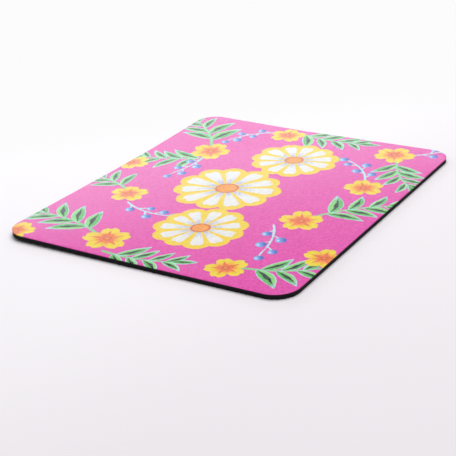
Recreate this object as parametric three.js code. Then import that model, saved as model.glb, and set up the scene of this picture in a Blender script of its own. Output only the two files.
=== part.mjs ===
// A small cloth mouse pad: printed jersey bonded by a hot-melt film to a sheet of foam rubber,
// and die-cut through all three layers in one stroke.
// Millimetres, +Z up. The origin is the middle of the underside, +X runs along the long side,
// and -Y is the side of the person who uses the pad.
import * as THREE from 'three';

// The die-cut blank, seen from above
const PAD_LENGTH = 235;
const PAD_DEPTH = 197;
const CORNER_RADIUS = 15;

// The layers, from the table up
const RUBBER_THICKNESS = 2.8;
const FILM_THICKNESS = 0.1;
const CLOTH_THICKNESS = 0.3;

// Straight cuts that make up each quarter turn of a corner, an even number
const CUTS_PER_CORNER = 20;

const foamRubber = new THREE.MeshStandardMaterial({ color: '#1d1d1f', roughness: 0.9, metalness: 0 });
const hotMeltFilm = new THREE.MeshStandardMaterial({ color: '#4a4648', roughness: 0.6, metalness: 0 });
const printedJersey = new THREE.MeshStandardMaterial({ color: '#e65ab4', roughness: 0.95, metalness: 0 });

// The die's outline: a rectangle with round corners, centred on the origin, anticlockwise.
function dieOutline() {
  const cornerX = PAD_LENGTH / 2 - CORNER_RADIUS;
  const cornerY = PAD_DEPTH / 2 - CORNER_RADIUS;
  const quarter = Math.PI / 2;
  const outline = new THREE.Shape();
  outline.absarc(cornerX, -cornerY, CORNER_RADIUS, -quarter, 0);
  outline.absarc(cornerX, cornerY, CORNER_RADIUS, 0, quarter);
  outline.absarc(-cornerX, cornerY, CORNER_RADIUS, quarter, 2 * quarter);
  outline.absarc(-cornerX, -cornerY, CORNER_RADIUS, 2 * quarter, 3 * quarter);
  outline.closePath();
  return outline;
}

// One layer of the laminate: the die's outline cut through a sheet that lies at the given height.
// ExtrudeGeometry makes two cuts for each curve segment of an arc.
function sheet(name, underside, thickness, material) {
  const geometry = new THREE.ExtrudeGeometry(dieOutline(), {
    depth: thickness,
    bevelEnabled: false,
    curveSegments: CUTS_PER_CORNER / 2,
  });
  const mesh = new THREE.Mesh(geometry, material);
  mesh.name = name;
  mesh.position.z = underside;
  return mesh;
}

const filmUnderside = RUBBER_THICKNESS;
const clothUnderside = filmUnderside + FILM_THICKNESS;

const pad = new THREE.Group();
pad.add(sheet('rubber_base', 0, RUBBER_THICKNESS, foamRubber));
pad.add(sheet('adhesive_film', filmUnderside, FILM_THICKNESS, hotMeltFilm));
pad.add(sheet('fabric_top', clothUnderside, CLOTH_THICKNESS, printedJersey));

export default pad;
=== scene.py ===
"""A small printed cloth mouse pad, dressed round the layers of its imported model.

The pad is a die-cut laminate: printed jersey, hot-melt film and a sheet of foam rubber. Each layer is a
closed mesh in metres, in the model's own frame: +X along the long side, +Y away from the user, +Z up.
"""
import math
from functools import partial

import bmesh
import bpy
import numpy as np
from bpy.props import FloatProperty, FloatVectorProperty, IntProperty, PointerProperty
from bpy.types import Operator, Panel, PropertyGroup
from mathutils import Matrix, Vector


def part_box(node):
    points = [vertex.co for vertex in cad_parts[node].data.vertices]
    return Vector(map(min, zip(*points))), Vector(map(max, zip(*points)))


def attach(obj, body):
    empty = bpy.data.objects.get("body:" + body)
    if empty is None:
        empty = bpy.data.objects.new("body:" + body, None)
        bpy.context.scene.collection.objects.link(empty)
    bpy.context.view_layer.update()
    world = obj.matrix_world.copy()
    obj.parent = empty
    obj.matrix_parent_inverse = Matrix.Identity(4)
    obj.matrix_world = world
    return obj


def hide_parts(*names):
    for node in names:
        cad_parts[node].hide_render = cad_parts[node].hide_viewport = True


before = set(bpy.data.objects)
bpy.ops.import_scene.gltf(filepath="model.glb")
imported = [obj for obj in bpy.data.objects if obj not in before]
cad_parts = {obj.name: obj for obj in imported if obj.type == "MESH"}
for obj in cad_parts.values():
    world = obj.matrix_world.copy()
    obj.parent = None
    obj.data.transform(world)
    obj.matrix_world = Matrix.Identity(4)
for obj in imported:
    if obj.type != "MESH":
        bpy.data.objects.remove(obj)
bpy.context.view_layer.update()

bl_info = {
    "name": "Printed cloth mouse pad",
    "version": (1, 0, 0),
    "blender": (4, 5, 0),
    "location": "3D View > Sidebar > Mouse pad",
    "description": "Models a die-cut cloth mouse pad, its printed face and its rubber base",
    "category": "Object",
}

CLOTH_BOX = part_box("fabric_top")
FILM_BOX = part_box("adhesive_film")
RUBBER_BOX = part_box("rubber_base")

MM = 0.001
MM_PER_METRE = 1000.0

# Metres below which two heights are one, two vertices are welded, and a step has no direction
SAME_HEIGHT = 1e-7
WELD = 1e-6
NO_STEP = 1e-9

# The stage, in metres apart from the sensor, which is in millimetres
TABLE_SIZE = 12.0
CLIP_START = 0.01
SENSOR_WIDTH = 36.0
# Lamps: place, size and colour
TOP_LAMP = ((0.35, 0.0, 1.4), (1.3, 1.3), (1.0, 1.0, 1.0))
STRIP_LAMP = ((0.41, 0.59, 0.24), (1.5, 0.15), (0.84, 0.97, 1.0))

# Level direction to the whitest side of the table
WHITE_SIDE = (0.73, 0.68, 0.0)
# Where the table top starts and ends to whiten, along that direction and in all directions
WHITER_ASIDE = (-0.02, 0.22)
WHITER_AROUND = (0.35, 0.8)
# Where the painted light that pales it starts and ends, along +Y
PAINTED_LIGHT_BEYOND = (-0.135, 0.03)
BACKGROUND_LEVEL = 0.97

# The map that the cloth is baked through: the rim round its face, and the back's share of what is left
BAKE_MAP = "OFBake"
BAKE_RIM = 1.0 * MM
BAKE_BACK = 0.9

# The cloth's rolled rim, from its face down: shares of the roll's width and of the cloth's thickness
RIM_PROFILE = ((0.5, 0.06), (0.85, 0.25), (1.0, 0.55), (1.0, 1.0))
# The cut foam wall, from its top down: shares of its hollow and of its height
WALL_PROFILE = ((0.0, 1.0), (0.45, 0.86), (1.0, 0.5), (0.8, 0.14), (0.6, 0.0))
# How far the die reaches past the foam's two faces
DIE_REACH = 1.0 * MM
# Mesh cells from one stud of the underside to the next
STUD_PITCH = 4
# How gently a corner's curl starts: 1 is a straight ramp
CURL_EASE = 1.2

# Distance, in millimetres, that stands for "no mark of this ink is near"
OUT_OF_REACH = 20.0
# How far outside a mark its distance is still worked out, in millimetres
MARK_MARGIN = 9.0

# Inks of the print that have marks of their own
PRINT_LAYERS = ("stem", "stalk", "leaf", "berry", "petal", "daisy", "centre")

# The print, in millimetres from the middle of the pad, with angles in degrees, anticlockwise from +X
# Daisies: x, y, radius, turn
DAISIES = (
    (-60, -8, 25, 8),
    (0, 10, 31, 20),
    (62, -6, 26, 2),
)
# Yellow blossoms: x, y, radius, turn
BLOSSOMS = (
    (-97, 34, 15, 100),
    (-34, 64, 13, 20),
    (54, 56, 15, 70),
    (104, 22, 13, 10),
    (-100, -50, 13, 40),
    (-26, -58, 15, 95),
    (36, -70, 13, 30),
    (98, -64, 15, 60),
    (-66, -94, 13, 10),
    (14, 96, 13, 50),
    (-112, 92, 13, 5),
)
# Fronds of paired leaflets: x and y of the foot, heading, length, sway
FRONDS = (
    (-94, 44, 62, 70, 34),
    (-28, 70, 58, 54, 34),
    (44, 50, 128, 62, -34),
    (64, 62, 30, 72, 30),
    (112, 18, 250, 62, 30),
    (-96, -58, 276, 62, 40),
    (-18, -62, 330, 66, -34),
    (90, -70, 196, 60, 32),
    (-112, 26, 262, 56, 30),
)
# Berry sprigs: x and y of the foot, heading, length, sway
BERRY_SPRIGS = (
    (-46, 56, 236, 34, 40),
    (44, 55, 190, 34, -28),
    (106, 30, 112, 36, 46),
    (-38, -46, 214, 38, -30),
    (46, -66, 18, 36, 40),
    (102, -76, 300, 30, 40),
)

# Flowers: how far a petal strays from its heading is in radians, its reach and the eye are shares of the
# flower's radius, and its form is in shares of its reach
DAISY = {
    "ink": "daisy",
    "petals": 11,
    "stray": 0.05,
    "reach": (0.94, 1.04),
    "eye": 0.25,
    "petal": {"foot": 0.3, "tip": 0.84, "foot_radius": 0.055, "tip_radius": 0.16, "notch": 0.08},
}
BLOSSOM = {
    "ink": "petal",
    "petals": 5,
    "stray": 0.07,
    "reach": (0.93, 1.06),
    "eye": 0.17,
    "petal": {"foot": 0.16, "tip": 0.62, "foot_radius": 0.1, "tip_radius": 0.38, "notch": 0.14},
}
# How far past a petal's tip the middle of its notch lies, as a share of the notch
NOTCH_LIFT = 0.3

# Leaves: the powers that bunch a leaf to its foot and round it, and the millimetres that its half width
# gains where places across it are measured
LEAF_BUNCH = 0.8
LEAF_ROUND = 0.9
LEAF_END = 0.3

# Fronds: pairs of leaflets, and the shares of the length that the stalk and the end leaflet take
FROND_PAIRS = 4
FROND_STALK = 0.8
END_LEAFLET = {"length": 0.29, "width": 0.1}
# Leaflets: length, as a share of the frond's, and splay, in degrees, at its foot and lost up to its tip,
# then width and bow, as shares of a leaflet's own length
LEAFLET_LENGTH = (0.43, 0.15)
LEAFLET_SPLAY = (56, 16)
LEAFLET_WIDTH = (0.3, 0.36)
LEAFLET_BOW = 0.07

# Berry sprigs: berries, their radii, and their twigs' lengths, splay in degrees and bend in radians
SPRIG_BERRIES = 5
BERRY_RADIUS = (2.7, 3.5)
TWIG_LENGTH = (6.5, 8.5)
TWIG_SPLAY = 52
TWIG_BEND = 0.4

# Steps along a stalk, how many of them one stroke takes, and steps along a twig
STALK_STEPS = 40
STROKE_STEP = 4
TWIG_STEPS = 4

PRINT_SEED = 11
# How dark the ground is at its deepest, as a share of its ink
DEEP_GROUND = 0.93


def ink(red, green, blue):
    """An 8-bit screen colour as the linear colour that shaders take."""
    channels = []
    for level in (red, green, blue):
        share = level / 255
        channels.append(share / 12.92 if share <= 0.04045 else ((share + 0.055) / 1.055) ** 2.4)
    return tuple(channels)


def number_property(name, description, default, unit="NONE"):
    """A number that a user may change."""
    return FloatProperty(name=name, description=description, default=default, min=0, unit=unit)


def length_property(name, description, default):
    """A size in metres that a user may change."""
    return number_property(name, description, default, "LENGTH")


def colour_property(name, description, default):
    """A colour that a user may change."""
    return FloatVectorProperty(
        name=name, description=description, default=default, subtype="COLOR", size=3, min=0, max=1
    )


class PadShape(PropertyGroup):
    """Sizes of the die-cut blank and of what the cutting and the use have done to it."""

    length: length_property("Length", "Long side of the blank", CLOTH_BOX[1].x - CLOTH_BOX[0].x)
    depth: length_property("Depth", "Short side of the blank", CLOTH_BOX[1].y - CLOTH_BOX[0].y)
    corner_radius: length_property("Corner radius", "Radius of the die's round corners", 15 * MM)
    print_splits: IntProperty(
        name="Print splits",
        description="How many cells of the printed face lie along each plain cell",
        default=4,
        min=1,
    )
    plain_cell: length_property("Plain cell", "Mesh size of the faces that carry no print", 3.0 * MM)
    edge_roll: length_property("Edge roll", "Width of the rim that the die rolls down", 0.6 * MM)
    stud_cell: length_property("Stud cell", "Mesh size of the embossed underside", 0.75 * MM)
    stud_height: length_property("Stud height", "How far the underside's studs stand out", 0.22 * MM)
    wall_hollow: length_property("Wall hollow", "How far the cut foam draws in at mid height", 0.2 * MM)
    wale: length_property("Wale", "Width of the jersey's columns of stitches", 0.72 * MM)
    course: length_property("Course", "Height of the jersey's rows of stitches", 0.58 * MM)
    left_lift: length_property("Left lift", "Curl of the corner at -X, +Y", 1.25 * MM)
    left_reach: length_property("Left reach", "How far the left curl runs in from its corner", 115 * MM)
    far_lift: length_property("Far lift", "Curl of the corner at +X, +Y", 2.0 * MM)
    far_reach: length_property("Far reach", "How far the far curl runs in from its corner", 85 * MM)


class PrintInks(PropertyGroup):
    """Colours of the printed jersey."""

    ground: colour_property("Ground", "Pink that the motifs lie on", ink(231, 66, 173))
    leaf: colour_property("Leaf", "Body of the leaflets", ink(74, 178, 82))
    leaf_light: colour_property("Leaf light", "Sunny side of the leaflets", ink(134, 212, 116))
    leaf_tip: colour_property("Leaf tip", "Washed tips and edges of the leaflets", ink(182, 224, 228))
    leaf_vein: colour_property("Leaf vein", "Dark strokes along the leaflets", ink(0, 40, 38))
    stem: colour_property("Stem", "Stalks of the fronds", ink(120, 200, 150))
    stalk: colour_property("Stalk", "Stalks of the berries", ink(184, 224, 240))
    berry: colour_property("Berry", "Light side of the berries", ink(132, 182, 234))
    berry_shade: colour_property("Berry shade", "Shaded side of the berries", ink(48, 96, 196))
    petal: colour_property("Petal", "Outer part of the blossoms", ink(241, 213, 26))
    petal_base: colour_property("Petal base", "Inner part of the blossoms", ink(236, 108, 54))
    daisy: colour_property("Daisy", "Petals of the daisies", ink(233, 230, 230))
    daisy_shade: colour_property("Daisy shade", "Shaded foot of the daisies' petals", ink(186, 185, 210))
    halo: colour_property("Halo", "Broad outline round the daisies", ink(241, 211, 12))
    centre: colour_property("Centre", "Middle of the flowers", ink(246, 158, 40))
    centre_rim: colour_property("Centre rim", "Rim of the flowers' middles", ink(214, 84, 40))
    # Colour of the undyed fibre, and of the painted sheen that whitens the slubs.
    thread_and_sheen: colour_property("Thread", "Undyed yarn at the cut edge", ink(236, 214, 226))
    halo_width: number_property("Halo width", "Width of the daisies' outline, in millimetres", 4.4)


class StudioLook(PropertyGroup):
    """Camera, lamps and table."""

    camera_place: FloatVectorProperty(
        name="Camera place",
        description="Where the camera stands",
        default=(-0.5760, -0.3587, 0.2820),
        subtype="TRANSLATION",
        unit="LENGTH",
        size=3,
    )
    camera_turn: FloatVectorProperty(
        name="Camera turn",
        description="Tilt, roll and heading of the camera",
        default=tuple(math.radians(angle) for angle in (65.788, 3.042, -58.673)),
        subtype="EULER",
        unit="ROTATION",
        size=3,
    )
    lens: number_property("Lens", "Focal length of the camera, in millimetres", 90.04)
    table: colour_property("Table", "Table top on the user's side", (0.853, 0.812, 0.85))
    # Painted light: a paler table colour beyond the pad, standing for light that falls brighter there.
    far_table_painted_light: colour_property("Far table", "Table top beyond the pad", (0.912, 0.873, 0.912))
    strip_power: number_property("Strip power", "Low strip lamp beyond the pad", 1.95, "POWER")
    top_power: number_property("Top power", "Broad soft lamp over the pad", 19.2, "POWER")
    sky: number_property("Sky", "Strength of the even light from all round", 0.32)


class MousePadSettings(PropertyGroup):
    """All that a user may change."""

    shape: PointerProperty(type=PadShape)
    inks: PointerProperty(type=PrintInks)
    studio: PointerProperty(type=StudioLook)


# Modelling helpers


def deselect_all():
    """Leaves edit mode and selects nothing."""
    if bpy.context.mode != "OBJECT":
        bpy.ops.object.mode_set(mode="OBJECT")
    bpy.ops.object.select_all(action="DESELECT")


def make_active(piece):
    """Makes one object alone the one that operators act on."""
    deselect_all()
    piece.select_set(True)
    bpy.context.view_layer.objects.active = piece


def edit_edges(piece):
    """Opens one object in edit mode, to pick edges, with none picked yet."""
    make_active(piece)
    bpy.ops.object.mode_set(mode="EDIT")
    bpy.ops.mesh.select_mode(type="EDGE")
    bpy.ops.mesh.select_all(action="DESELECT")


def close_mesh():
    """Turns every face of the edited mesh outwards and leaves edit mode."""
    bpy.ops.mesh.select_all(action="SELECT")
    bpy.ops.mesh.normals_make_consistent(inside=False)
    bpy.ops.object.mode_set(mode="OBJECT")


def join_to(piece, other):
    """Makes another object's mesh part of a piece's."""
    make_active(piece)
    other.select_set(True)
    bpy.ops.object.join()


def read_places(mesh):
    """The mesh's vertices as an array with a row for each."""
    places = np.empty(len(mesh.vertices) * 3)
    mesh.vertices.foreach_get("co", places)
    return places.reshape(-1, 3)


def write_places(mesh, places):
    """Puts the vertices where the rows of the array say."""
    mesh.vertices.foreach_set("co", places.ravel())
    mesh.update()


def add_grid(name, length, depth, cell, height, splits=1):
    """A flat grid of nearly square cells, each split that many ways, centred on the origin."""
    deselect_all()
    bpy.ops.mesh.primitive_grid_add(
        x_subdivisions=round(length / cell) * splits,
        y_subdivisions=round(depth / cell) * splits,
        size=1,
        calc_uvs=False,
    )
    grid = bpy.context.active_object
    grid.name = name
    places = read_places(grid.data)
    places *= (length, depth, 1)
    places[:, 2] = height
    write_places(grid.data, places)
    return grid


def round_off(places, length, depth, radius):
    """Draws a rectangle's four corner squares in to quarter discs, and leaves the rest where it is."""
    inner = np.array((length / 2 - radius, depth / 2 - radius))
    flat = places[:, :2]
    beyond = (np.abs(flat) - inner) / radius
    corner = (beyond > 0).all(axis=1)
    square = beyond[corner]
    disc = square * np.sqrt(1 - square[:, ::-1] ** 2 / 2)
    flat[corner] = np.sign(flat[corner]) * (inner + disc * radius)


def from_core(flat, shape):
    """Steps to points from the blank's core, which ends a corner radius inside the die's outline."""
    core = np.array((shape.length / 2, shape.depth / 2)) - shape.corner_radius
    return flat - np.clip(flat, -core, core)


def outward(flat, shape):
    """Unit steps out of the die's outline, at points on it or near it, and none far inside."""
    step = from_core(flat, shape)
    return step / np.maximum(np.linalg.norm(step, axis=1, keepdims=True), NO_STEP)


def draw_down(piece, shape, start_height, rings):
    """Extrudes the border of the face at start_height ring by ring, each a step out and a height."""
    edit_edges(piece)
    edit = bmesh.from_edit_mesh(piece.data)
    for edge in edit.edges:
        level = all(abs(vertex.co.z - start_height) < SAME_HEIGHT for vertex in edge.verts)
        if edge.is_boundary and level:
            edge.select = True
    bmesh.update_edit_mesh(piece.data)
    reached = 0.0
    for step, height in rings:
        bpy.ops.mesh.extrude_region_move()
        edit = bmesh.from_edit_mesh(piece.data)
        ring = [vertex for vertex in edit.verts if vertex.select]
        flat = np.array([vertex.co[:2] for vertex in ring])
        flat += outward(flat, shape) * (step - reached)
        for vertex, place in zip(ring, flat):
            vertex.co = (place[0], place[1], height)
        bmesh.update_edit_mesh(piece.data)
        reached = step
    bpy.ops.mesh.select_all(action="SELECT")
    bpy.ops.mesh.remove_doubles(threshold=WELD)
    close_mesh()


def split_border(grid, splits):
    """Splits each edge of a grid's border, so that it meets the wall of a finer one."""
    edit_edges(grid)
    bpy.ops.mesh.select_non_manifold()
    bpy.ops.mesh.subdivide(number_cuts=splits - 1)
    bpy.ops.object.mode_set(mode="OBJECT")


def add_layer(name, shape, splits, margin, top, bottom, rings):
    """One closed layer: a face and a back that stop a margin short of the outline, and the wall between.

    The back has plain cells, and the face that many splits of each.
    """
    length = shape.length - 2 * margin
    depth = shape.depth - 2 * margin
    face = add_grid(name, length, depth, shape.plain_cell, top, splits)
    back = add_grid(name, length, depth, shape.plain_cell, bottom)
    if splits > 1:
        split_border(back, splits)
    for sheet in (face, back):
        places = read_places(sheet.data)
        round_off(places, length, depth, shape.corner_radius - margin)
        write_places(sheet.data, places)
    join_to(face, back)
    draw_down(face, shape, top, [*rings, (0.0, bottom)])
    return face


def add_slab(shape, top):
    """A sheet of foam rubber before it is cut: a plain upper face over an underside of small studs."""
    over = STUD_PITCH * shape.stud_cell
    length = shape.length + 2 * over
    depth = shape.depth + 2 * over
    slab = add_grid("foam_rubber_base", length, depth, shape.stud_cell, 0.0)
    places = read_places(slab.data)
    column = np.round((places[:, 0] + length / 2) / shape.stud_cell).astype(int)
    row = np.round((places[:, 1] + depth / 2) / shape.stud_cell).astype(int)
    stagger = STUD_PITCH // 2 * ((row // STUD_PITCH) % 2)
    groove = (row % STUD_PITCH == 0) | ((column + stagger) % STUD_PITCH == 0)
    places[:, 2] = np.where(groove, shape.stud_height, 0.0)
    write_places(slab.data, places)
    face = add_grid("slab_face", length, depth, shape.plain_cell, top)
    join_to(slab, face)
    edit_edges(slab)
    bpy.ops.mesh.select_non_manifold()
    bpy.ops.mesh.bridge_edge_loops()
    close_mesh()
    return slab


def add_die(shape, top):
    """The space inside the cutting die, drawn in at mid height as cut foam springs back."""
    rings = [(-inset * shape.wall_hollow, up * top) for inset, up in WALL_PROFILE]
    return add_layer("die", shape, 1, 0.0, top + DIE_REACH, -DIE_REACH, rings)


def mark_stud_tops(mesh, shape):
    """Stores how far a vertex stands out of the underside's grooves, from 0 to 1, and 0 at the wall."""
    places = read_places(mesh)
    from_wall = shape.corner_radius - np.hypot(*from_core(places[:, :2], shape).T)
    stud = np.clip(1 - places[:, 2] / shape.stud_height, 0, 1)
    stud[from_wall < shape.stud_cell / 2] = 0
    stored = mesh.attributes.new("stud_top", "FLOAT", "POINT")
    stored.data.foreach_set("value", stud)


def curl(piece, shape):
    """Lifts a layer's two corners at +Y off the table."""
    places = read_places(piece.data)
    curls = ((-1, shape.left_lift, shape.left_reach), (1, shape.far_lift, shape.far_reach))
    for side, raised, reach in curls:
        away = np.hypot(places[:, 0] - side * shape.length / 2, places[:, 1] - shape.depth / 2)
        places[:, 2] += raised * np.clip(1 - away / reach, 0, None) ** CURL_EASE
    write_places(piece.data, places)


def finish_piece(piece, material, sharp_above):
    """Shades a piece smooth but for edges above that angle, dresses it and puts it on the one body."""
    make_active(piece)
    bpy.ops.object.shade_smooth_by_angle(angle=math.radians(sharp_above))
    piece.data.name = piece.name
    piece.data.materials.clear()
    piece.data.materials.append(material)
    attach(piece, "root")


# The print


class InkLayer:
    """One ink of the print at every face corner of the cloth.

    distance is how far the corner lies from the edge of the nearest mark, in millimetres, below zero
    inside it. along and across say where it lies on the mark that the middle of its face is deepest in.
    """

    def __init__(self, corners, middles):
        self.corners = corners
        self.middles = middles
        self.depth = np.full(len(corners), OUT_OF_REACH)
        self.distance = np.full(len(corners), OUT_OF_REACH)
        self.along = np.zeros(len(corners))
        self.across = np.zeros(len(corners))

    def paint(self, x, y, heading, reach, measure):
        """Adds a mark. measure turns places along its heading and to the left into the three values."""
        reach += MARK_MARGIN
        spot = np.array((x, y))
        near = np.flatnonzero((abs(self.middles - spot) < reach).all(axis=1))
        cosine = math.cos(heading)
        sine = math.sin(heading)
        turn = np.array(((cosine, -sine), (sine, cosine)))
        distance, along, across = measure(*((self.corners[near] - spot) @ turn).T)
        depth = measure(*((self.middles[near] - spot) @ turn).T)[0]
        self.distance[near] = np.minimum(self.distance[near], distance)
        deepest = depth < self.depth[near]
        owned = near[deepest]
        self.depth[owned] = depth[deepest]
        self.along[owned] = along[deepest]
        self.across[owned] = across[deepest]

    def petal(self, x, y, heading, foot, tip, foot_radius, tip_radius, notch):
        """A petal that widens from its foot to its round tip, which has a notch of that radius.

        foot and tip are the distances from x, y to the middles of its two ends.
        """
        rise = tip - foot
        lean = (foot_radius - tip_radius) / rise
        upright = math.sqrt(1 - lean * lean)

        def measure(ahead, aside):
            up = ahead - foot
            side = abs(aside)
            level = up * upright - side * lean
            flank = side * upright + up * lean - foot_radius
            low_end = np.hypot(up, side) - foot_radius
            high_end = np.hypot(up - rise, side) - tip_radius
            distance = np.where(level < 0, low_end, np.where(level > upright * rise, high_end, flank))
            notched = notch - np.hypot(up - rise - tip_radius - NOTCH_LIFT * notch, side)
            return np.maximum(distance, notched), ahead / (tip + tip_radius), aside / tip_radius

        self.paint(x, y, heading, tip + tip_radius, measure)

    def leaf(self, x, y, heading, length, width, bow):
        """A leaf that is pointed at both ends, fullest below its middle, and bows to its left."""

        def measure(ahead, aside):
            along = np.clip(ahead / length, 0, 1)
            side = aside - bow * length * 4 * along * (1 - along)
            half = width / 2 * np.sin(np.pi * along**LEAF_BUNCH) ** LEAF_ROUND
            past_end = np.maximum(-ahead, ahead - length)
            distance = np.where(past_end > 0, np.hypot(past_end, side), abs(side) - half)
            return distance, along, side / (half + LEAF_END)

        self.paint(x, y, heading, length, measure)

    def line(self, points, foot_width, tip_width):
        """A stroke through the points, which narrows from foot to tip."""
        steps = len(points) - 1
        for index in range(steps):
            x, y = points[index][:2]
            to_x, to_y = points[index + 1][:2]
            run = math.hypot(to_x - x, to_y - y)

            def measure(ahead, aside):
                share = np.clip(ahead / run, 0, 1)
                along = (index + share) / steps
                half = (foot_width + (tip_width - foot_width) * along) / 2
                return np.hypot(ahead - share * run, aside) - half, along, aside / half

            self.paint(x, y, math.atan2(to_y - y, to_x - x), run, measure)

    def disc(self, x, y, radius):
        """A round dot. along and across are its own x and y, from -1 to 1."""

        def measure(ahead, aside):
            return np.hypot(ahead, aside) - radius, ahead / radius, aside / radius

        self.paint(x, y, 0.0, radius, measure)

    def as_vectors(self):
        """Distance, along and across side by side."""
        return np.stack((self.distance, self.along, self.across), axis=1)


def arc_points(x, y, heading, length, sway, count=STALK_STEPS):
    """Points along a stalk that turns steadily by sway, each with its heading there, all in radians."""
    points = []
    for index in range(count + 1):
        points.append((x, y, heading + sway * index / count))
        middle = heading + sway * (index + 0.5) / count
        x += length / count * math.cos(middle)
        y += length / count * math.sin(middle)
    return points


def paint_flower(flower, layers, draw, x, y, radius, turn):
    """A ring of notched petals about a round eye, in a flower's own proportions."""
    for index in range(flower["petals"]):
        heading = math.radians(turn) + math.tau * index / flower["petals"]
        heading += draw.uniform(-flower["stray"], flower["stray"])
        reach = radius * draw.uniform(*flower["reach"])
        form = {name: share * reach for name, share in flower["petal"].items()}
        layers[flower["ink"]].petal(x, y, heading, **form)
    layers["centre"].disc(x, y, flower["eye"] * radius)


def paint_frond(layers, draw, x, y, heading, length, sway):
    """A swaying stalk with paired leaflets that shorten to its tip, and one leaflet at the end."""
    stalk = arc_points(x, y, math.radians(heading), length * FROND_STALK, math.radians(sway))
    layers["stem"].line(stalk[::STROKE_STEP], foot_width=2.2, tip_width=1.2)
    at_foot, lost = LEAFLET_LENGTH
    splay_at_foot, splay_lost = LEAFLET_SPLAY
    for pair in range(FROND_PAIRS):
        for side in (1, -1):
            share = (pair + 0.85 + 0.12 * side) / (FROND_PAIRS + 0.3)
            foot_x, foot_y, along = stalk[round(share * (len(stalk) - 1))]
            leaflet = length * (at_foot - lost * share) * draw.uniform(0.92, 1.08)
            splay = math.radians(splay_at_foot - splay_lost * share) + draw.uniform(-0.09, 0.09)
            width = leaflet * draw.uniform(*LEAFLET_WIDTH)
            bow = -side * LEAFLET_BOW
            layers["leaf"].leaf(foot_x, foot_y, along + side * splay, leaflet, width, bow)
    end = {name: share * length for name, share in END_LEAFLET.items()}
    layers["leaf"].leaf(*stalk[-1], **end, bow=0.0)


def paint_berry_sprig(layers, draw, x, y, heading, length, sway):
    """A thin stalk with berries on short twigs, left and right in turn, the last straight on."""
    stalk = arc_points(x, y, math.radians(heading), length, math.radians(sway))
    layers["stalk"].line(stalk[::STROKE_STEP], foot_width=1.5, tip_width=1.0)
    for index in range(SPRIG_BERRIES):
        share = (index + 1) / SPRIG_BERRIES
        foot_x, foot_y, along = stalk[round(share * (len(stalk) - 1))]
        side = 1 if index % 2 else -1
        splay = 0.0 if index == SPRIG_BERRIES - 1 else side * math.radians(TWIG_SPLAY)
        reach = draw.uniform(*TWIG_LENGTH)
        twig = arc_points(foot_x, foot_y, along + splay, reach, -side * TWIG_BEND, TWIG_STEPS)
        layers["stalk"].line(twig, foot_width=1.1, tip_width=1.0)
        berry_x, berry_y = twig[-1][:2]
        layers["berry"].disc(berry_x, berry_y, draw.uniform(*BERRY_RADIUS))


def face_corners(mesh):
    """Every face corner's vertex, and each face's first corner and number of corners."""
    vertex = np.empty(len(mesh.loops), dtype=int)
    mesh.loops.foreach_get("vertex_index", vertex)
    count = np.empty(len(mesh.polygons), dtype=int)
    mesh.polygons.foreach_get("loop_total", count)
    return vertex, np.cumsum(count) - count, count


def print_cloth(mesh):
    """Stores each ink of the print on the cloth's face corners, as an attribute for the material."""
    vertex, first, count = face_corners(mesh)
    corners = read_places(mesh)[vertex, :2] * MM_PER_METRE
    middles = np.add.reduceat(corners, first) / count[:, None]
    middles = np.repeat(middles, count, axis=0)
    layers = {name: InkLayer(corners, middles) for name in PRINT_LAYERS}
    draw = np.random.default_rng(PRINT_SEED)
    motifs = (
        (paint_frond, FRONDS),
        (paint_berry_sprig, BERRY_SPRIGS),
        (partial(paint_flower, BLOSSOM), BLOSSOMS),
        (partial(paint_flower, DAISY), DAISIES),
    )
    for paint_motif, spots in motifs:
        for spot in spots:
            paint_motif(layers, draw, *spot)
    for name, layer in layers.items():
        stored = mesh.attributes.new(f"{name}_ink", "FLOAT_VECTOR", "CORNER")
        stored.data.foreach_set("vector", layer.as_vectors().ravel())


def lay_out_print(mesh, shape, top, bottom):
    """Adds the map that the cloth is baked through, before its corners curl.

    The printed face fills the map, with its rim laid out flat round it, and the back lies small above.
    """
    places = read_places(mesh)
    flat = places[:, :2]
    height = places[:, 2]
    half = np.array((shape.length, shape.depth)) / 2
    span = shape.length + 2 * BAKE_RIM
    unrolled = flat + outward(flat, shape) * (top - height)[:, None]
    on_face = (unrolled + half + BAKE_RIM) / span
    free = 1 - (shape.depth + 2 * BAKE_RIM) / span
    mirrored = flat * (-1, 1)
    back_corner = (BAKE_RIM / span, 1 - (1 + BAKE_BACK) / 2 * free)
    on_back = (mirrored + half) * BAKE_BACK * free / shape.depth + back_corner
    vertex, first, count = face_corners(mesh)
    is_back = np.maximum.reduceat(height[vertex], first) < bottom + SAME_HEIGHT
    spots = np.where(np.repeat(is_back, count)[:, None], on_back[vertex], on_face[vertex])
    layer = mesh.uv_layers.new(name=BAKE_MAP, do_init=False)
    layer.uv.foreach_set("vector", spots.ravel())


# Shader helpers


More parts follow.
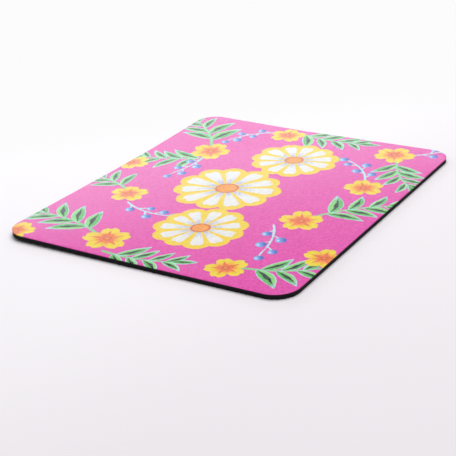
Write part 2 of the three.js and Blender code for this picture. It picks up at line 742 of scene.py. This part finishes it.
class Nodes:
    """Places nodes in a tree. An input that is a socket is linked, and any other value is typed in."""

    def __init__(self, tree):
        self.tree = tree

    def feed(self, sockets, values):
        """Links or sets inputs, by name or by number."""
        for key, value in values.items():
            if isinstance(value, bpy.types.NodeSocket):
                self.tree.links.new(value, sockets[key])
            else:
                sockets[key].default_value = value

    def add(self, kind, inputs=None, **settings):
        """A node of that kind, with its settings and inputs."""
        node = self.tree.nodes.new(kind)
        for name, value in settings.items():
            setattr(node, name, value)
        self.feed(node.inputs, inputs or {})
        return node

    def math(self, operation, *values):
        """One step of arithmetic."""
        node = self.add("ShaderNodeMath", dict(enumerate(values)), operation=operation)
        return node.outputs[0]

    def times(self, value, factor, plus=0.0):
        """A value times a factor, and another value added to that."""
        return self.math("MULTIPLY_ADD", value, factor, plus)

    def ramp(self, value, start, end):
        """How far a value has come from start to end, eased, from 0 to 1."""
        node = self.add(
            "ShaderNodeMapRange",
            {"Value": value, "From Min": start, "From Max": end},
            interpolation_type="SMOOTHSTEP",
        )
        return node.outputs["Result"]

    def mix(self, share, first, second, clamp=True):
        """A colour between two others, or past them where the share isn't held from 0 to 1."""
        inputs = {0: share}
        for slot, colour in ((6, first), (7, second)):
            is_socket = isinstance(colour, bpy.types.NodeSocket)
            inputs[slot] = colour if is_socket else (*colour[:3], 1.0)
        return self.add("ShaderNodeMix", inputs, data_type="RGBA", clamp_factor=clamp).outputs[2]

    def noise(self, place, scale, detail=2.0, roughness=0.5):
        """Cloudy values from 0 to 1."""
        node = self.add(
            "ShaderNodeTexNoise",
            {"Vector": place, "Scale": scale, "Detail": detail, "Roughness": roughness},
        )
        return node.outputs["Fac"]

    def scaled(self, colour, share):
        """A colour made darker, or lighter where the share is over 1."""
        return self.mix(share, (0, 0, 0), colour, clamp=False)

    def bump(self, height, distance, strength):
        """A normal that follows fine relief."""
        inputs = {"Height": height, "Distance": distance, "Strength": strength}
        return self.add("ShaderNodeBump", inputs).outputs[0]

    def parts(self, vector):
        """The three parts of a vector."""
        return self.add("ShaderNodeSeparateXYZ", {0: vector}).outputs

    def vector(self, x, y, z):
        """A vector from its three parts."""
        return self.add("ShaderNodeCombineXYZ", {0: x, 1: y, 2: z}).outputs[0]

    def group(self, tree, inputs):
        """A node group with its inputs."""
        return self.add("ShaderNodeGroup", inputs, node_tree=tree).outputs


def new_group(name, inputs, outputs):
    """An empty node group with named sockets: its tree, helper, inputs and outputs."""
    tree = bpy.data.node_groups.new(name, "ShaderNodeTree")
    for direction, sockets in (("INPUT", inputs), ("OUTPUT", outputs)):
        for socket_name, kind in sockets:
            tree.interface.new_socket(socket_name, in_out=direction, socket_type=f"NodeSocket{kind}")
    nodes = Nodes(tree)
    came_in = nodes.add("NodeGroupInput").outputs
    goes_out = nodes.add("NodeGroupOutput").inputs
    return tree, nodes, came_in, goes_out


def new_material(name):
    """An empty material: it, its helper and its shader, which is joined to the output."""
    material = bpy.data.materials.new(name)
    material.use_nodes = True
    material.node_tree.nodes.clear()
    nodes = Nodes(material.node_tree)
    shader = nodes.add("ShaderNodeBsdfPrincipled")
    nodes.add("ShaderNodeOutputMaterial", {"Surface": shader.outputs[0]})
    return material, nodes, shader


def place_in_mm(nodes):
    """The point of the piece that is shaded, in millimetres."""
    point = nodes.add("ShaderNodeTexCoord").outputs["Object"]
    scaled = nodes.add("ShaderNodeVectorMath", {0: point, "Scale": MM_PER_METRE}, operation="SCALE")
    return scaled.outputs[0]


def painted_edge_group():
    """Turns a mark's distance into a mask with the slightly unsteady edge of a brush."""
    tree, nodes, came_in, goes_out = new_group(
        "painted_edge",
        (("Place", "Vector"), ("Distance", "Float"), ("Wobble", "Float")),
        (("Mask", "Float"),),
    )
    slow = nodes.noise(came_in["Place"], scale=0.25, detail=1.0)
    quick = nodes.noise(came_in["Place"], scale=1.1)
    sway = nodes.times(quick, 0.4, nodes.math("SUBTRACT", slow, 0.7))
    shifted = nodes.times(sway, came_in["Wobble"], came_in["Distance"])
    nodes.feed(goes_out, {"Mask": nodes.ramp(shifted, 0.09, -0.09)})
    return tree


def brush_streaks_group():
    """Streaks of thick and thin paint that run along a mark."""
    tree, nodes, came_in, goes_out = new_group(
        "brush_streaks",
        (("Place", "Vector"), ("Along", "Float"), ("Across", "Float")),
        (("Streak", "Float"),),
    )
    batch = nodes.noise(came_in["Place"], scale=0.05, detail=0.0)
    run = nodes.times(came_in["Along"], 1.6, nodes.times(batch, 40.0))
    lane = nodes.times(came_in["Across"], 3.2)
    streak = nodes.noise(nodes.vector(run, lane, batch), scale=1.0, detail=3.0, roughness=0.6)
    nodes.feed(goes_out, {"Streak": nodes.ramp(streak, 0.32, 0.68)})
    return tree


def jersey_knit_group():
    """Columns of small V stitches: their height, and a painted shade that is low between the yarns."""
    tree, nodes, came_in, goes_out = new_group(
        "jersey_knit",
        (("Place", "Vector"), ("Wale", "Float"), ("Course", "Float")),
        (("Height", "Float"), ("Shade", "Float")),
    )
    x, y, _ = nodes.parts(came_in["Place"])
    column = nodes.math("DIVIDE", x, came_in["Wale"])
    row = nodes.math("DIVIDE", y, came_in["Course"])
    rise = nodes.math("PINGPONG", column, 0.5)
    turn = nodes.times(nodes.math("ADD", row, rise), math.tau)
    yarn = nodes.times(nodes.math("COSINE", turn), 0.5, 0.5)
    rib = nodes.ramp(rise, 0.0, 0.22)
    height = nodes.times(nodes.times(yarn, 0.6, 0.4), rib)
    fibre = nodes.noise(came_in["Place"], scale=6.0, roughness=0.7)
    outputs = {"Height": nodes.times(fibre, 0.35, height), "Shade": nodes.times(height, 0.6, 0.4)}
    nodes.feed(goes_out, outputs)
    return tree


# Materials


class PrintedColour:
    """Lays the inks of the print over each other, as nodes in the jersey's material."""

    def __init__(self, nodes, place, inks):
        self.nodes = nodes
        self.place = place
        self.inks = inks
        self.edge = painted_edge_group()
        self.streaks = brush_streaks_group()

    def layer(self, name):
        """Distance, along and across of one ink."""
        read = self.nodes.add("ShaderNodeAttribute", attribute_name=f"{name}_ink")
        return self.nodes.parts(read.outputs["Vector"])

    def cover(self, under, distance, paint, wobble=0.7):
        """Lays a mark's paint over what is under it. Its edge wobbles by about so many millimetres."""
        inputs = {"Place": self.place, "Distance": distance, "Wobble": wobble}
        return self.nodes.mix(self.nodes.group(self.edge, inputs)["Mask"], under, paint)

    def streak(self, along, across):
        """Brush streaks on a mark."""
        inputs = {"Place": self.place, "Along": along, "Across": across}
        return self.nodes.group(self.streaks, inputs)["Streak"]

    def ground(self):
        """Pink, a little uneven as a broad brush leaves it."""
        cloud = self.nodes.noise(self.place, scale=0.035, detail=3.0)
        ground = self.inks.ground
        deep = [level * DEEP_GROUND for level in ground]
        return self.nodes.mix(cloud, deep, ground)

    def stems(self, under, name, colour, light):
        """Stalks, streaked from their own colour to a light one."""
        distance, along, across = self.layer(name)
        paint = self.nodes.mix(self.streak(along, across), colour, light)
        return self.cover(under, distance, paint)

    def leaves(self, under):
        """Leaflets: a light half, a washed edge and tip, and a dark broken stroke along the middle."""
        nodes, inks = self.nodes, self.inks
        distance, along, across = self.layer("leaf")
        streak = self.streak(along, across)
        paint = nodes.mix(nodes.times(streak, 0.4), inks.leaf, inks.leaf_light)
        sunny = nodes.ramp(nodes.times(streak, 0.5, across), 0.2, 0.5)
        paint = nodes.mix(sunny, paint, inks.leaf_light)
        washed = nodes.ramp(nodes.times(streak, 0.25, along), 0.86, 1.08)
        edge = nodes.ramp(nodes.times(streak, 0.7, distance), -0.5, 0.1)
        paint = nodes.mix(nodes.math("MAXIMUM", washed, edge), paint, inks.leaf_tip)
        bent = nodes.times(nodes.noise(self.place, scale=0.16), 0.7, -0.35)
        off_middle = nodes.math("ABSOLUTE", nodes.math("ADD", across, bent))
        from_middle = nodes.math("ABSOLUTE", nodes.math("SUBTRACT", along, 0.42))
        thickness = nodes.times(from_middle, -0.75, 0.34)
        vein = nodes.ramp(nodes.math("SUBTRACT", off_middle, thickness), 0.05, -0.05)
        inside = nodes.ramp(distance, -0.3, -0.8)
        paint = nodes.mix(nodes.times(vein, inside), paint, inks.leaf_vein)
        return self.cover(under, distance, paint, wobble=0.6)

    def berries(self, under):
        """Round berries, shaded on one side, with a small light."""
        nodes, inks = self.nodes, self.inks
        distance, across, up = self.layer("berry")
        lean = nodes.math("SUBTRACT", nodes.times(across, 0.6), up)
        brushed = nodes.times(nodes.noise(self.place, scale=0.9), 0.5, lean)
        paint = nodes.mix(nodes.ramp(brushed, -0.5, 1.1), inks.berry, inks.berry_shade)
        aside = nodes.math("ADD", across, 0.3)
        above = nodes.math("SUBTRACT", up, 0.36)
        from_light = nodes.times(aside, aside, nodes.times(above, above))
        paint = nodes.mix(nodes.ramp(from_light, 0.085, 0.02), paint, inks.daisy)
        return self.cover(under, distance, paint)

    def blossoms(self, under):
        """Yellow petals that redden to their foot, with a fine red line, and a seam between them."""
        nodes, inks = self.nodes, self.inks
        distance, along, across = self.layer("petal")
        streak = self.streak(along, across)
        reach = nodes.times(streak, 0.22, along)
        off_middle = nodes.math("ABSOLUTE", across)
        paint = nodes.mix(nodes.ramp(reach, 0.74, 0.4), inks.petal, inks.centre)
        paint = nodes.mix(nodes.ramp(reach, 0.5, 0.34), paint, inks.petal_base)
        inside = nodes.ramp(distance, -0.9, -1.6)
        seam = nodes.times(nodes.ramp(off_middle, 0.66, 0.95), inside)
        paint = nodes.mix(seam, paint, inks.centre)
        line = nodes.ramp(nodes.times(along, 0.5, off_middle), 0.42, 0.34)
        paint = nodes.mix(nodes.times(line, inside), paint, inks.petal_base)
        return self.cover(under, distance, paint)

    def daisies(self, under):
        """White petals with a broad outline, shaded to their foot."""
        nodes, inks = self.nodes, self.inks
        distance, along, across = self.layer("daisy")
        outline = nodes.math("SUBTRACT", distance, inks.halo_width)
        brushed = nodes.mix(nodes.noise(self.place, scale=0.22), inks.centre, inks.halo)
        band = nodes.mix(0.75, brushed, inks.halo)
        under = self.cover(under, outline, band, wobble=1.2)
        streak = self.streak(along, across)
        shade = nodes.ramp(nodes.times(streak, 0.3, along), 0.75, 0.4)
        paint = nodes.mix(shade, inks.daisy, inks.daisy_shade)
        return self.cover(under, distance, paint)

    def centres(self, under):
        """Dotted buttons, darker to their rim."""
        nodes, inks = self.nodes, self.inks
        distance = self.layer("centre")[0]
        dots = nodes.add("ShaderNodeTexVoronoi", {"Vector": self.place, "Scale": 0.9})
        dotted = nodes.ramp(dots.outputs["Distance"], 0.5, 0.25)
        rim = nodes.ramp(distance, -2.2, -0.4)
        dark = nodes.math("MAXIMUM", rim, nodes.times(dotted, 0.6))
        paint = nodes.mix(dark, inks.centre, inks.centre_rim)
        return self.cover(under, distance, paint)

    def all_inks(self):
        """The whole print."""
        inks = self.inks
        colour = self.stems(self.ground(), "stem", inks.stem, inks.leaf_light)
        colour = self.stems(colour, "stalk", inks.stalk, inks.leaf_tip)
        for paint in (self.leaves, self.berries, self.blossoms, self.daisies, self.centres):
            colour = paint(colour)
        return colour


def printed_jersey(settings):
    """Fine knitted jersey, softly fuzzy, with the print dyed into it.

    Its yarn has slubs, which are thick places: they are lighter, and whitened both by a painted sheen,
    as gloss glints on them, and by more undyed fibre showing in them.
    """
    material, nodes, shader = new_material("dyed_jersey")
    place = place_in_mm(nodes)
    shape, inks = settings.shape, settings.inks
    stitch = {"Wale": shape.wale * MM_PER_METRE, "Course": shape.course * MM_PER_METRE}
    knit = nodes.group(jersey_knit_group(), {"Place": place, **stitch})
    slub = nodes.noise(place, scale=0.52, roughness=0.65)
    uneven = nodes.times(slub, 0.38, 0.81)
    dyed = nodes.scaled(PrintedColour(nodes, place, inks).all_inks(), uneven)
    # Painted shade: the colour is darkened between the yarns, as shade falls in the knit's grooves.
    shaded = nodes.mix(nodes.ramp(knit["Shade"], 0.2, 1.0), nodes.scaled(dyed, 0.86), dyed)
    fibre = nodes.ramp(nodes.noise(place, scale=3.4, detail=3.0, roughness=0.7), 0.6, 0.82)
    # Painted sheen and undyed fibre: the slubs are whitened towards the thread's colour.
    sheen_and_undyed = nodes.math("MAXIMUM", nodes.times(slub, 0.19, -0.077), 0.0)
    colour = nodes.mix(nodes.times(fibre, 0.06, sheen_and_undyed), shaded, inks.thread_and_sheen)
    look = {
        "Base Color": colour,
        "Roughness": nodes.times(knit["Shade"], -0.1, 0.33),
        "Specular IOR Level": 0.3,
        "Sheen Weight": 0.15,
        "Sheen Roughness": 0.3,
        "Normal": nodes.bump(knit["Height"], distance=0.12 * MM, strength=0.08),
    }
    nodes.feed(shader.inputs, look)
    return material


def hot_melt_film():
    """Smoky adhesive film, with the faint cloudiness of melted glue."""
    material, nodes, shader = new_material("smoky_film")
    cloud = nodes.noise(place_in_mm(nodes), scale=0.8, detail=3.0)
    colour = nodes.mix(cloud, ink(52, 48, 50), ink(84, 78, 82))
    nodes.feed(shader.inputs, {"Base Color": colour, "Roughness": nodes.times(cloud, 0.2, 0.45)})
    return material


def foam_rubber():
    """Matte black foam rubber: fine open cells, with painted shade darkening their hollows, and a bloom
    of paler dust on the studs.
    """
    material, nodes, shader = new_material("black_foam_rubber")
    place = place_in_mm(nodes)
    cells = nodes.add("ShaderNodeTexVoronoi", {"Vector": place, "Scale": 3.2})
    pore = nodes.ramp(cells.outputs["Distance"], 0.12, 0.42)
    cloud = nodes.noise(place, scale=0.4, detail=4.0, roughness=0.6)
    body = nodes.mix(cloud, ink(15, 15, 17), ink(26, 26, 29))
    stud = nodes.add("ShaderNodeAttribute", attribute_name="stud_top").outputs["Fac"]
    dusty = nodes.mix(nodes.times(stud, 0.8), body, ink(48, 48, 51))
    look = {
        # Painted shade: the colour is darkest in the hollows of the open cells.
        "Base Color": nodes.mix(pore, ink(9, 9, 10), dusty),
        "Roughness": nodes.times(cloud, 0.15, 0.8),
        "Specular IOR Level": 0.25,
        "Normal": nodes.bump(pore, distance=0.1 * MM, strength=0.5),
    }
    nodes.feed(shader.inputs, look)
    return material


def pale_table(studio):
    """Smooth pale table top, painted paler beyond the pad as if more light fell there, which whitens to
    one side of the pad, and to all sides further off.
    """
    material, nodes, shader = new_material("pale_table")
    place = nodes.add("ShaderNodeTexCoord").outputs["Object"]
    # Painted light: the table's colour pales beyond the pad, standing for light that falls brighter
    # there.
    beyond = nodes.ramp(nodes.parts(place)["Y"], *PAINTED_LIGHT_BEYOND)
    colour = nodes.mix(beyond, studio.table, studio.far_table_painted_light)
    nodes.feed(shader.inputs, {"Base Color": colour, "Roughness": 0.6, "Specular IOR Level": 0.2})
    distance = nodes.add("ShaderNodeVectorMath", {0: place}, operation="LENGTH").outputs["Value"]
    aside = nodes.add("ShaderNodeVectorMath", {0: place, 1: WHITE_SIDE}, operation="DOT_PRODUCT")
    to_side = nodes.ramp(aside.outputs["Value"], *WHITER_ASIDE)
    whiter = nodes.math("MAXIMUM", to_side, nodes.ramp(distance, *WHITER_AROUND))
    path = nodes.add("ShaderNodeLightPath").outputs
    seen = nodes.math("MAXIMUM", path["Is Camera Ray"], path["Is Glossy Ray"])
    seen = nodes.math("MAXIMUM", seen, path["Is Transmission Ray"])
    white = nodes.add("ShaderNodeEmission", {"Color": (1, 1, 1, 1), "Strength": BACKGROUND_LEVEL})
    share = nodes.times(whiter, seen)
    faded = nodes.add("ShaderNodeMixShader", {0: share, 1: shader.outputs[0], 2: white.outputs[0]})
    nodes.feed(material.node_tree.get_output_node("ALL").inputs, {"Surface": faded.outputs[0]})
    return material


# Operators


class MOUSEPAD_OT_printed_cloth(Operator):
    """Model the printed jersey, its rolled rim and its print"""

    bl_idname = "mouse_pad.printed_cloth"
    bl_label = "Printed cloth"

    def execute(self, context):
        settings = context.scene.mouse_pad
        shape = settings.shape
        bottom, top = CLOTH_BOX[0].z, CLOTH_BOX[1].z
        roll = shape.edge_roll
        rings = [(out * roll, top - down * (top - bottom)) for out, down in RIM_PROFILE]
        cloth = add_layer("printed_cloth", shape, shape.print_splits, roll, top, bottom, rings)
        print_cloth(cloth.data)
        lay_out_print(cloth.data, shape, top, bottom)
        curl(cloth, shape)
        finish_piece(cloth, printed_jersey(settings), sharp_above=40)
        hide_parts("fabric_top")
        return {"FINISHED"}


class MOUSEPAD_OT_bonding_film(Operator):
    """Model the hot-melt film between the cloth and the rubber"""

    bl_idname = "mouse_pad.bonding_film"
    bl_label = "Bonding film"

    def execute(self, context):
        shape = context.scene.mouse_pad.shape
        film = add_layer("bonding_film", shape, 1, 0.0, FILM_BOX[1].z, FILM_BOX[0].z, ())
        curl(film, shape)
        finish_piece(film, hot_melt_film(), sharp_above=40)
        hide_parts("adhesive_film")
        return {"FINISHED"}


class MOUSEPAD_OT_rubber_base(Operator):
    """Model the foam rubber sheet: emboss its underside, die-cut it and let its corners curl"""

    bl_idname = "mouse_pad.rubber_base"
    bl_label = "Rubber base"

    def execute(self, context):
        shape = context.scene.mouse_pad.shape
        top = RUBBER_BOX[1].z
        base = add_slab(shape, top)
        die = add_die(shape, top)
        make_active(base)
        cut = base.modifiers.new("die_cut", "BOOLEAN")
        cut.operation = "INTERSECT"
        cut.solver = "MANIFOLD"
        cut.object = die
        bpy.ops.object.modifier_apply(modifier=cut.name)
        bpy.data.objects.remove(die)
        mark_stud_tops(base.data, shape)
        curl(base, shape)
        finish_piece(base, foam_rubber(), sharp_above=30)
        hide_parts("rubber_base")
        return {"FINISHED"}


class MOUSEPAD_OT_stage(Operator):
    """Add the table, the lamps, the sky and the camera"""

    bl_idname = "mouse_pad.stage"
    bl_label = "Stage"

    def execute(self, context):
        studio = context.scene.mouse_pad.studio
        deselect_all()
        bpy.ops.mesh.primitive_plane_add(size=TABLE_SIZE)
        table = context.active_object
        table.name = "table"
        table.data.materials.append(pale_table(studio))
        self.add_lamp("top_lamp", studio.top_power, *TOP_LAMP)
        self.add_lamp("strip_lamp", studio.strip_power, *STRIP_LAMP)
        self.set_sky(context.scene, studio.sky)
        bpy.ops.object.camera_add(location=studio.camera_place, rotation=studio.camera_turn)
        camera = context.active_object
        camera.data.sensor_width = SENSOR_WIDTH
        camera.data.lens = studio.lens
        camera.data.clip_start = CLIP_START
        context.scene.camera = camera
        context.scene.view_settings.view_transform = "Standard"
        return {"FINISHED"}

    def add_lamp(self, name, power, place, size, colour):
        """A soft box that faces the pad."""
        bpy.ops.object.light_add(type="AREA", location=place)
        lamp = bpy.context.active_object
        lamp.name = name
        lamp.rotation_euler = lamp.location.to_track_quat("Z", "Y").to_euler()
        lamp.data.shape = "RECTANGLE"
        lamp.data.size, lamp.data.size_y = size
        lamp.data.energy = power
        lamp.data.color = colour
        lamp.visible_camera = False

    def set_sky(self, scene, strength):
        """Even white light, and a white background behind the table."""
        sky = bpy.data.worlds.new("studio_sky")
        scene.world = sky
        sky.use_nodes = True
        sky.node_tree.nodes.clear()
        nodes = Nodes(sky.node_tree)
        seen = nodes.add("ShaderNodeLightPath").outputs["Is Camera Ray"]
        level = nodes.times(seen, BACKGROUND_LEVEL - strength, strength)
        light = nodes.add("ShaderNodeBackground", {"Color": (1, 1, 1, 1), "Strength": level})
        nodes.add("ShaderNodeOutputWorld", {"Surface": light.outputs[0]})


class MOUSEPAD_PT_pieces(Panel):
    """Sidebar list of the pad's pieces"""

    bl_idname = "MOUSEPAD_PT_pieces"
    bl_label = "Mouse pad"
    bl_space_type = "VIEW_3D"
    bl_region_type = "UI"
    bl_category = "Mouse pad"

    def draw(self, context):
        for operator in PIECE_OPERATORS:
            self.layout.operator(operator.bl_idname)


PIECE_OPERATORS = (
    MOUSEPAD_OT_stage,
    MOUSEPAD_OT_rubber_base,
    MOUSEPAD_OT_bonding_film,
    MOUSEPAD_OT_printed_cloth,
)
CLASSES = (PadShape, PrintInks, StudioLook, MousePadSettings, *PIECE_OPERATORS, MOUSEPAD_PT_pieces)


def register():
    """Makes the pad's classes known to Blender."""
    for each in CLASSES:
        bpy.utils.register_class(each)
    bpy.types.Scene.mouse_pad = PointerProperty(type=MousePadSettings)


def unregister():
    """Takes the pad's classes away again."""
    del bpy.types.Scene.mouse_pad
    for each in reversed(CLASSES):
        bpy.utils.unregister_class(each)


def main():
    """Models every piece in order."""
    register()
    bpy.ops.mouse_pad.stage()
    bpy.ops.mouse_pad.rubber_base()
    bpy.ops.mouse_pad.bonding_film()
    bpy.ops.mouse_pad.printed_cloth()


if __name__ == "__main__":
    main()
